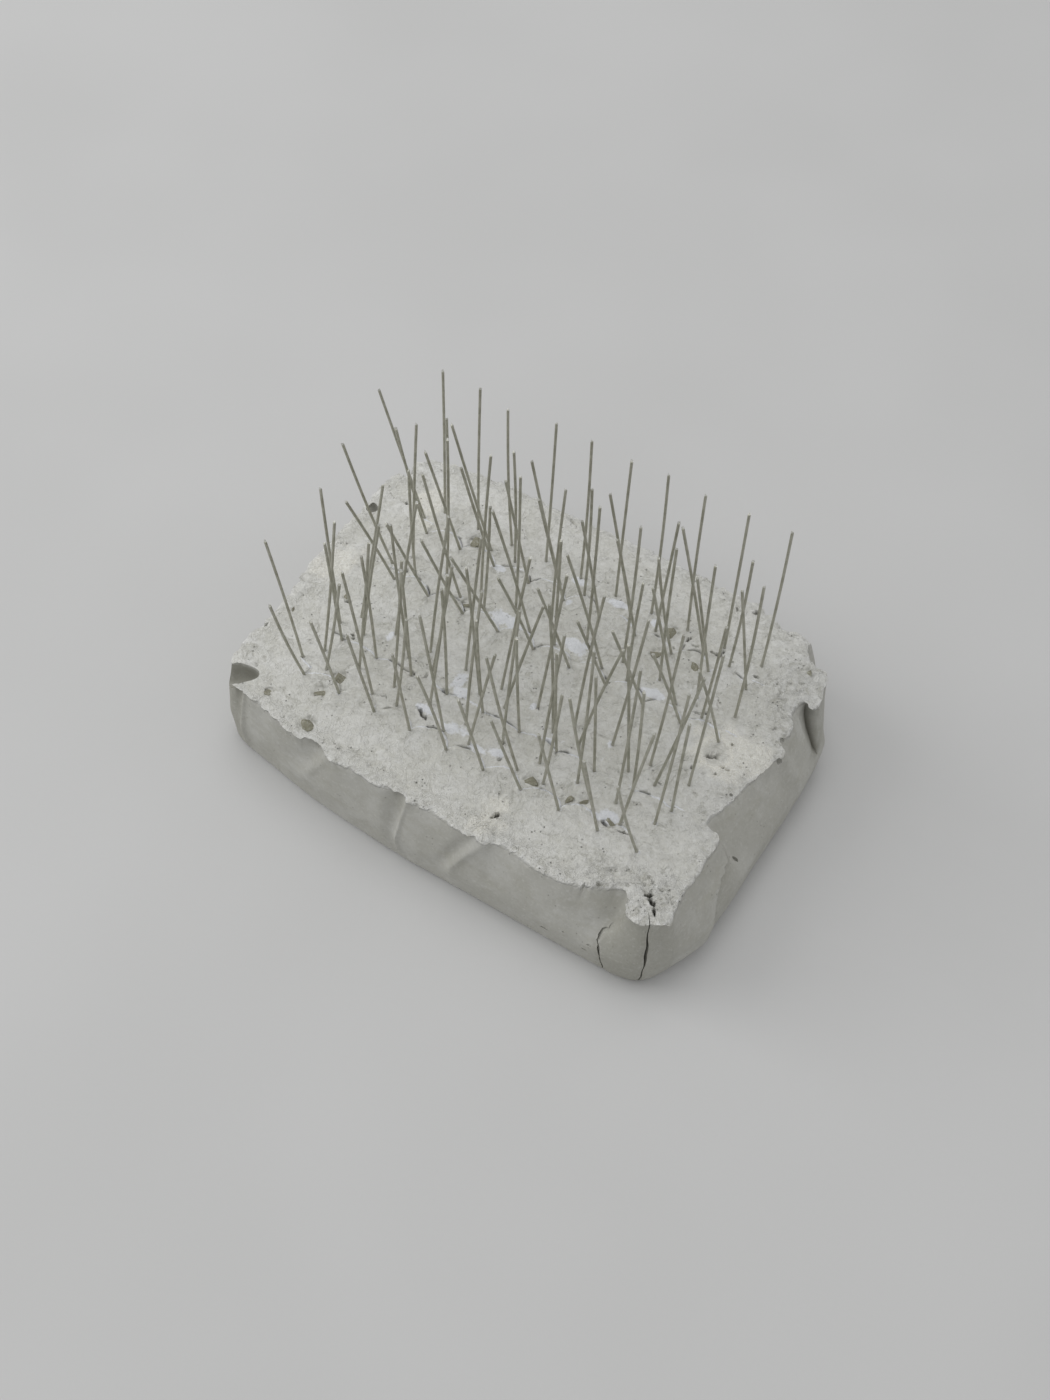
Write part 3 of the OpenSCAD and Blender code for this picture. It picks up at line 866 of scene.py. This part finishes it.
for strip in lap_swell:
    gap, run = lap_gap(x, y, strip)
    lay_closer((np.abs(gap) < 0.75) & (run > 0.3), 1)
    lay_closer((np.abs(gap) < 3) & (run > 0.1), 2)
for cx, cy, half_length, *_ in face_pits:
    near = np.hypot(x - cx, y - cy)
    if half_length > 0.7:
        lay_closer(near < half_length + 0.3, 1)
    lay_closer(near < half_length + 0.8, 2)
for fx, fy in every_foot:
    near = np.hypot(x - fx, y - fy)
    lay_closer(near < 1.0, 1)
    lay_closer(near < 2.2, 2)
for cx, cy, rx, ry in cream_patches + [(76, -53, 9, 8), (62, -57, 8, 5)]:
    lay_closer(np.hypot((x - cx) / rx, (y - cy) / ry) < 1.15, 2)
keep = ((want == 1) | ((want == 2) & every_two.ravel()) | every_four.ravel())
x, y, want = x[keep], y[keep], want[keep]
chance = np.random.default_rng(9)
x = x + chance.uniform(-0.16, 0.16, len(x)) * pitch * want
y = y + chance.uniform(-0.16, 0.16, len(y)) * pitch * want


def within_rim(x, y):
    """True for the places that lie inside the rim."""
    inside = np.zeros(len(x), bool)
    for (x1, y1), (x2, y2) in zip(rim, np.roll(rim, -1, 0)):
        if y1 != y2:
            crossed = (y1 > y) != (y2 > y)
            inside ^= crossed & (x < (x2 - x1) * (y - y1) / (y2 - y1) + x1)
    return inside


kept = within_rim(x, y)
x, y = x[kept], y[kept]
clear = rim_distance(x, y) > 0.42
x, y = x[clear], y[clear]

inner = np.c_[x, y]
laid = np.vstack([rim, inner])
corners, _, faces, origin, _, _ = delaunay_2d_cdt(
    [Vector(p) for p in laid], [(k, (k + 1) % count) for k in range(count)], [], 0, 1e-6, True)
faces = np.array(faces)
middles = laid[faces].mean(1)
faces = faces[within_rim(middles[:, 0], middles[:, 1])]
level, *_ = face_level(laid[:, 0], laid[:, 1])
points = [np.c_[laid, face_height + level]]
triangles = [faces]

# The sides hang from the rim in rings, round the foot, to the flat underside.
rim_height = face_height + level[:count]
heights = [33.7, 33.1, 32.2, 31.2, 30, 28.8, 27.6, 26.4, 25.2, 24, 22.7, 21.4, 20.1, 18.8, 17.5, 16.2,
           14.9, 13.5, 12, 10.5, 9, 7.5, 6.2, 5, 3.9, 2.8, 1.9, 1.2, 0.6, 0.2, 0]
total = len(laid)
ring_above = np.arange(count)
for height in heights:
    ring = side_point(height)
    drop = ease(height, 26, 34)
    z = height + (rim_height - face_height) * drop
    if height > 33:
        z = np.minimum(z, rim_height - (34 - height) * 0.8)
    points.append(np.c_[ring, z])
    ring_below = total + np.arange(count)
    total += count
    a, b = ring_above, np.roll(ring_above, -1)
    c, d = np.roll(ring_below, -1), ring_below
    triangles.append(np.c_[a, d, b])
    triangles.append(np.c_[b, d, c])
    ring_above = ring_below
points = np.vstack(points)
mesh = bpy.data.meshes.new("cement_block")
mesh.from_pydata((points / 1000).tolist(), [],
                 np.vstack(triangles).tolist() + [ring_above[::-1].tolist()])
mesh.update()
block = put_in("cement_block", mesh)

# What was torn or blown out of the casting: each a lump x, y, z, half sizes, turn and tilt.
hollows = [
    (-88.5, -55.0, 36.0, 8.2, 4.4, 9.5, 28, 0), (-91.2, 31.8, 34.5, 2.6, 2.3, 4.5, 0, 20),
    (90.0, -21.0, 20.6, 1.6, 0.6, 2.3, 10, 14), (63.0, -71.0, 14.0, 0.9, 0.7, 0.5, 0, 0),
    (82.6, -8.2, 33.2, 1.4, 1.2, 1.4, 0, 0), (79.7, -8.0, 34.1, 0.7, 0.6, 0.8, 0, 0),
    (86.9, 13.0, 32.6, 1.5, 1.0, 1.3, 0, 0), (84.6, 20.6, 33.4, 1.2, 0.8, 1.4, 0, 0),
    (46.6, -71.2, 9.4, 1.6, 0.9, 0.7, 0, 0), (61.6, -71.2, 9.8, 1.2, 0.8, 0.4, 0, -35),
    (64.2, -71.1, 4.2, 0.6, 0.6, 0.5, 0, 0), (40.6, -71.3, 4.0, 0.6, 0.6, 0.5, 0, 0),
    (-9.8, -71.2, 2.6, 1.1, 0.8, 0.5, 0, 0), (53.6, -71.1, 14.0, 0.5, 0.5, 0.4, 0, 0),
    (-50, -66.2, 31.0, 1.0, 0.9, 0.8, 0, 0), (-47.6, -66.0, 29.6, 0.6, 0.6, 0.5, 0, 0),
    (92.8, -24.0, 24.6, 0.7, 0.7, 2.3, 0, 24), (93.4, -57.6, 15.6, 0.9, 1.0, 1.5, 0, 20),
    (95.2, -31.0, 4.2, 1.4, 1.2, 2.8, 0, 10), (-95.3, -4, 21, 0.8, 1.3, 0.8, 0, 0),
    (-95.6, -46, 12, 0.8, 0.9, 0.7, 0, 0), (-95.3, 40, 9, 0.8, 1.6, 0.6, 0, 0),
    (-30, 71.1, 15, 1.4, 0.8, 0.7, 0, 0), (25, 71.0, 8, 0.9, 0.7, 0.8, 0, 0),
    (66, 70.2, 20, 1.1, 0.9, 0.6, 0, 0), (-71, 71.0, 24, 0.7, 0.7, 0.7, 0, 0),
    (5, 71.2, 26, 0.8, 0.7, 0.5, 0, 0), (95, 2, 9, 0.7, 0.9, 0.6, 0, 0),
    (94.8, 52, 14, 0.8, 0.8, 0.7, 0, 0)]
# Shrinkage cracks, opened as thin wedges down the side: x, y, z places, width and depth.
cracks = [
    ([(78.8, -62, 34.3), (79.6, -63.8, 30.8), (80.2, -65.2, 26.8), (81.2, -66.9, 19.9),
      (81.8, -68.1, 11.5), (81.4, -68.6, 1.5)], 0.8, 3.6),
    ([(68.6, -65.6, 23.4), (67.3, -66.3, 22.7), (65.9, -67.3, 21), (65.0, -68.4, 19.2),
      (65.2, -69.4, 17.8), (66.1, -70.7, 16), (67.3, -71.9, 11.5), (68.1, -71.6, 6),
      (69.5, -70.5, 0.3)], 1.0, 2.0),
    ([(88.4, -25.9, 26), (90.4, -32.6, 24.4), (92, -37.7, 20.5), (93.2, -41.6, 15),
      (93.4, -42.7, 9), (92.6, -43, 0.2)], 0.55, 1.3),
]


def on_side(x, y, z):
    """The place on the side nearest to x, y, at height z."""
    ring = side_point(min(z, face_height))
    return np.array([*ring[np.hypot(ring[:, 0] - x, ring[:, 1] - y).argmin()], z])


cutter = bmesh.new()


def closed_tube(rings):
    """Walls from each ring of points to the next, and a lid on both ends."""
    made = [[cutter.verts.new(p) for p in ring] for ring in rings]
    for one, two in zip(made[:-1], made[1:]):
        for k in range(len(one)):
            after = (k + 1) % len(one)
            cutter.faces.new((one[k], one[after], two[after], two[k]))
    cutter.faces.new(made[0][::-1])
    cutter.faces.new(made[-1])


for number, (cx, cy, cz, rx, ry, rz, turn, tilt) in enumerate(hollows):
    fine = 4 if max(rx, ry, rz) > 3 else 3 if max(rx, ry, rz) > 1.2 else 2
    made = bmesh.ops.create_icosphere(cutter, subdivisions=fine, radius=1)["verts"]
    shape = (Matrix.Translation(Vector((cx, cy, cz)) / 1000)
             @ Matrix.Rotation(math.radians(turn), 4, "Z") @ Matrix.Rotation(math.radians(tilt), 4, "X")
             @ Matrix.Diagonal(Vector((rx, ry, rz, 1000)) / 1000))
    for v in made:
        wobble = 0.09 * math.sin(3.1 * v.co.x + 2.3 * v.co.z + number)
        wobble = 1 + wobble * math.cos(2.7 * v.co.y + number)
        v.co = shape @ (v.co * wobble)
for run, width, depth in cracks:
    line = np.array([on_side(*place) for place in run])
    length = lengths_along(line)
    at = np.linspace(0, length[-1], 14)
    line = places_along(line, length, at)
    inward = unit(-np.c_[line[:, 0] * 0.6, line[:, 1], 0 * at])
    side = unit(np.cross(inward, unit(np.gradient(line, axis=0))))
    to_ends = np.minimum(1, 0.4 + 3 * (1 - np.abs(2 * at / length[-1] - 1)))
    wide = (width / 2 * (0.75 + 0.35 * np.sin(at * 2.1)) * to_ends)[:, None]
    line = line + side * (0.18 * np.sin(at * 1.7))[:, None]
    outer = 1.6
    closed_tube(np.stack([line - inward * outer + side * wide * 1.7,
                          line - inward * outer - side * wide * 1.7,
                          line + inward * depth - side * wide * 0.35,
                          line + inward * depth + side * wide * 0.35], 1) / 1000)

# The deep fold near the back of the right end, where the film stood in a sharp pleat. At
# each height: its floor, the edge of the flap beyond it, and the rounded wall before it.
pleat = [
    (36, (84.2, 37.3), (89.0, 35.9), (84.9, 28.5), (83.4, 32.0), (83.1, 35.4)),
    (33.3, (84.2, 37.3), (89.0, 35.9), (85.6, 28.5), (84.2, 32.0), (83.3, 35.6)),
    (32.6, (84.3, 39.2), (89.2, 39.6), (86.2, 28.5), (84.8, 32.2), (83.5, 35.8)),
    (30.5, (84.4, 39.2), (89.3, 40.4), (87.4, 28.5), (86.0, 31.8), (84.0, 35.0)),
    (27.5, (84.8, 38.8), (89.8, 40.0), (89.5, 28.5), (88.3, 31.0), (86.1, 33.4)),
    (24.3, (86.0, 38.0), (90.8, 39.2), (91.2, 28.5), (90.2, 30.8), (88.2, 33.0)),
    (22, (87.4, 37.2), (91.6, 38.3), (92.3, 28.5), (91.4, 30.2), (89.8, 32.2)),
    (20, (89.4, 35.9), (92.4, 36.9), (93.2, 28.5), (92.6, 30.3), (91.5, 31.8)),
    (18, (91.3, 34.5), (93.3, 35.3), (94.2, 29.0), (93.6, 30.6), (92.7, 31.8)),
    (16, (93.6, 33.6), (94.4, 34.2), (95.0, 30.5), (94.7, 31.6), (94.3, 32.4)),
    (15, (95.3, 33.4), (95.4, 33.9), (95.6, 31.0), (95.5, 31.9), (95.4, 32.6))]
pleat_heights = np.array([p[0] for p in pleat], float)[::-1]
pleat_marks = np.array([p[1:] for p in pleat])[::-1]
rings = []
for z in np.r_[np.linspace(15, 32.6, 24), 33.3, 34.5, 36]:
    floor, flap, wall, near, nearer = [
        np.array([np.interp(z, pleat_heights, pleat_marks[:, k, axis]) for axis in (0, 1)])
        for k in range(5)]
    bend = np.array([wall, near, nearer, floor])
    for _ in range(3):
        cuts = [bend[0]]
        for one, two in zip(bend[:-1], bend[1:]):
            cuts += [one * 0.75 + two * 0.25, one * 0.25 + two * 0.75]
        bend = np.array(cuts + [bend[-1]])
    far_wall = [floor + (flap - floor) * t + np.array([0.25, -0.35]) * math.sin(math.pi * t)
                for t in (0.25, 0.5, 0.75, 1)]
    outline = np.vstack([bend, far_wall, [(99.5, flap[1] + 0.8)], [(99.5, wall[1] - 0.8)]])
    rings.append([(px / 1000, py / 1000, z / 1000) for px, py in outline])
closed_tube(rings)
bmesh.ops.recalc_face_normals(cutter, faces=cutter.faces)
cutter_mesh = bpy.data.meshes.new("torn_out")
cutter.to_mesh(cutter_mesh)
cutter.free()
torn_out = put_in("torn_out", cutter_mesh)
cut = block.modifiers.new("torn_out", "BOOLEAN")
cut.operation = "DIFFERENCE"
cut.solver = "MANIFOLD"
cut.object = torn_out
block = plain_mesh(block, "cement_block")
bpy.data.objects.remove(torn_out)
carved = block.data

# The finish reads where it is through these masks, one number for each point of the mesh.
spots = np.empty(len(carved.vertices) * 3)
carved.vertices.foreach_get("co", spots)
at_x, at_y, at_z = (spots.reshape(-1, 3) * 1000).T
level, cream, bloom, joint_and_shade, rough, edge = face_level(at_x, at_y)
sunk = face_height + level - at_z
on_face = 1 - ease(sunk, 0.25, 0.9)
inside = within_rim(at_x, at_y) * ease(rim_distance(at_x, at_y), 0.2, 1.2)
# Painted shade inside the torn hollows: their carved walls below the face are coloured darker, less so
# at the far left end.
hollow = inside * ease(sunk, 0.6, 3) * ease(at_z, 8, 12) * (0.35 + 0.5 * ease(at_x, -93, -84))
# Painted shade down the deep pleat: the side is coloured darker round the pleat's floor, fading towards
# the face.
floors = [np.interp(at_z, pleat_heights, pleat_marks[:, 0, axis]) for axis in (0, 1)]
from_floor = np.hypot(at_x - floors[0], at_y - floors[1])
pleat_shade = 0.75 * hump(from_floor, 2.0) + 0.4 * hump(from_floor, 4.6)
pleat_shade = pleat_shade * ease(at_z, 14.5, 18) * (1 - on_face) * (1 - ease(at_z, 29, 34) * 0.4)
# Painted shade at the end of the flat on the right end: a painted shadow line along its edge, and the
# side beyond that edge darkened where it turns from the light. Patches round the front corners and at
# the pleat are darkened as well.
end_marks = np.array(flat_end)
beyond = at_y - np.interp(at_z, end_marks[:, 0], end_marks[:, 2])
on_end = ease(at_x, 84, 87) * (1 - ease(at_z, 24, 31))
flat_edge_shadow = on_end * 0.6 * hump(beyond - 0.35, 0.45)
shade = 0.75 * on_end * ease(beyond, -0.1, 0.4) * np.exp(-np.clip(beyond, 0, None) / 8)
for x, y, reach, strength in [
        (74, -68, 9, 0.9), (84, -64, 7, 0.5), (-92, -54, 13, 1.0), (94, 35, 5, 0.3)]:
    far = np.hypot(at_x - x, at_y - y) / reach
    shade = np.maximum(shade, strength * (1 - ease(far, 0.7, 1.3)))
# Dark joints on the face, together with painted shade in the pits, the pin holes, the hollows, the
# pleat and along the edge of the flat.
dark = np.maximum.reduce([joint_and_shade * on_face, hollow * 0.75, pleat_shade, flat_edge_shadow * (1 - on_face)])
for name, values in {"cream": cream * on_face, "bloom": bloom * on_face, "joint_and_shade": dark,
                     "rough": rough * on_face, "edge": edge * on_face, "face": on_face,
                     "shade": shade * (1 - on_face)}.items():
    layer = carved.attributes.new(name, "FLOAT", "POINT")
    layer.data.foreach_set("value", values.astype(np.float32))
carved.polygons.foreach_set("use_smooth", np.ones(len(carved.polygons), bool))
carved.set_sharp_from_angle(angle=0.75)

cement, tree, place = new_finish("cement")
cream, bloom, joint_and_shade, rough, edge, face, shade = [
    tree.add("ShaderNodeAttribute", {"attribute_name": name}, out="Fac")
    for name in ("cream", "bloom", "joint_and_shade", "rough", "edge", "face", "shade")]
mottle = tree.grain(place, 16, 5, 0.62, 0.4)
clouds = tree.grain(place, 45, 3, 0.5)
fine = tree.grain(place, 1.4, 5, 0.65)
sand = tree.grain(place, 0.42, 3, 0.6)
pores = tree.add("ShaderNodeTexVoronoi", {"feature": "F1"},
                 {"Vector": place, "Scale": 520.0}, out="Distance")
pore_here = tree.grain(place, 7, 2)
pore = (1 - pores.rise(0.06, 0.2)) * pore_here.rise(0.5, 0.62)
streak_place = tree.add("ShaderNodeVectorMath", {"operation": "MULTIPLY"},
                        {0: place, 1: (0.22, 0.22, 1.0)})
streaks = tree.grain(streak_place, 3.2, 4, 0.6, 0.3)
crumbs = tree.grain(place, 3.2, 4, 0.7, 0.6)
flakes = (1 - abs((crumbs - 0.5) * 9)).rise(0.0, 1.0)
hair = (1 - abs((mottle - 0.5) * 34)).rise(0.1, 1.0)
hair_here = pore_here.rise(0.46, 0.6)
chalk = cream * (0.75 + 0.5 * fine).rise(0.5, 1.0)
lime = (bloom * 1.2 + (fine - 0.5) * 1.3 + (crumbs - 0.5) * 0.9).rise(0.28, 0.8)
top_only = 0.3 + face * 0.7

# The sides are the same cement as the face but take a much darker tone. This is painted shade for sides
# turned from the light above, and the shade mask lays further painted shade over them.
shaded_side_tone = tree.coats(
    tree.mix(mottle.rise(0.38, 0.66), (0.43, 0.425, 0.383), (0.5, 0.497, 0.46)),
    (streaks.rise(0.45, 0.7) * 0.35, (0.39, 0.382, 0.32)),
    (shade, (0.345, 0.34, 0.295)))
face_tone = tree.coats(
    tree.mix(mottle.rise(0.36, 0.66), (0.65, 0.645, 0.593), (0.75, 0.749, 0.718)),
    (clouds.rise(0.4, 0.62) * 0.5, (0.675, 0.67, 0.622)))
tone = tree.coats(
    tree.mix(face, shaded_side_tone, face_tone),
    (fine.rise(0.5, 0.72) * top_only * 0.5, (0.87, 0.87, 0.85)),
    ((1 - fine.rise(0.3, 0.47)) * top_only * 0.5, (0.45, 0.443, 0.39)),
    (flakes * top_only * 0.2, (0.86, 0.86, 0.84)),
    ((1 - crumbs.rise(0.34, 0.52)) * top_only * 0.2, (0.5, 0.494, 0.44)),
    (hair * face * hair_here * 0.45, (0.42, 0.413, 0.355)),
    ((1 - crumbs.rise(0.28, 0.42)) * rough * 0.5, (0.3, 0.292, 0.24)),
    (chalk * 0.85, tree.mix(sand.rise(0.4, 0.6), (0.78, 0.757, 0.67), (0.93, 0.922, 0.865))),
    (lime * 0.95, tree.mix(fine, (0.8, 0.825, 0.86), (0.93, 0.94, 0.97))),
    # Painted highlight: a whitish band along the rim of the face.
    (edge * fine.rise(0.4, 0.62) * 0.5, (0.88, 0.88, 0.86)),
    (pore * 0.6, (0.17, 0.165, 0.14)),
    # Dark joints, and painted shade in the pits, hollows, pleat and at the flat's edge.
    (joint_and_shade * 0.75, (0.12, 0.115, 0.09)))
relief = fine * 0.7 + sand * 0.45 + flakes * 0.3 + crumbs * 0.35 - pore * 1.2 - hair * hair_here * 0.3
tree.surface(
    Base_Color=tone,
    Roughness=0.72 + face * 0.18 + (fine - 0.5) * 0.16,
    Normal=tree.bump(relief * (0.12 + face * 0.62 + rough * 0.6), 0.6),
    Specular_IOR_Level=0.35,
)
carved.materials.clear()
carved.materials.append(cement)
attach(block, "root")
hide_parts("cast_block")


# ---------------------------------------------------------------- table, light and camera
# The block stands on a plain pale table under wide soft light, and is seen from in front,
# a little to the right, looking steeply down.
table_top, tree, place = new_finish("table_top")
lacquer = tree.grain(place, 1.2, 2)
broad = tree.grain(place, 160, 2)
tree.surface(
    Base_Color=tree.mix(broad.rise(0.3, 0.7), (0.6, 0.6, 0.592), (0.625, 0.625, 0.618)),
    Roughness=0.5 + 0.1 * lacquer,
    Normal=tree.bump(lacquer, 0.02),
)
mesh = bpy.data.meshes.new("table")
half_table = 3.0
mesh.from_pydata([(x * half_table, y * half_table, 0) for x, y in ((-1, -1), (1, -1), (1, 1), (-1, 1))],
                 [], [(0, 1, 2, 3)])
mesh.materials.append(table_top)
table = put_in("table", mesh)

world = bpy.data.worlds.new("room")
world.use_nodes = True
bpy.context.scene.world = world
tree = Tree(world.node_tree)
sky = tree.add("ShaderNodeBackground", None, {"Color": (0.985, 0.99, 1.0, 1), "Strength": 0.54})
tree.add("ShaderNodeOutputWorld", None, {"Surface": sky})


def soft_light(name, place, aim, size, power):
    """A square lamp that looks at a point."""
    lamp = bpy.data.lights.new(name, "AREA")
    lamp.shape = "SQUARE"
    lamp.size = size
    lamp.energy = power
    light = put_in(name, lamp)
    light.location = place
    light.rotation_euler = (Vector(aim) - Vector(place)).to_track_quat("-Z", "Y").to_euler()


soft_light("window", (-1.7, -0.5, 1.15), (0, 0, 0), 1.3, 13.2)
soft_light("ceiling", (-0.3, 0.5, 1.9), (0, 0, 0), 1.2, 6)

lens = bpy.data.cameras.new("camera")
lens.sensor_fit = "AUTO"
lens.sensor_width = 36.0
lens.lens = 41.14
camera = put_in("camera", lens)
look = Vector((-0.28489893, 0.4836624, -0.82758884)).normalized()
right = Vector((0.85253371, 0.52253684, 0.01189659)).normalized()
upward = right.cross(look)
camera.matrix_world = Matrix((
    (right.x, upward.x, -look.x, 0.1582), (right.y, upward.y, -look.y, -0.2764),
    (right.z, upward.z, -look.z, 0.4869), (0, 0, 0, 1)))
bpy.context.scene.camera = camera
bpy.context.scene.view_settings.view_transform = "Standard"
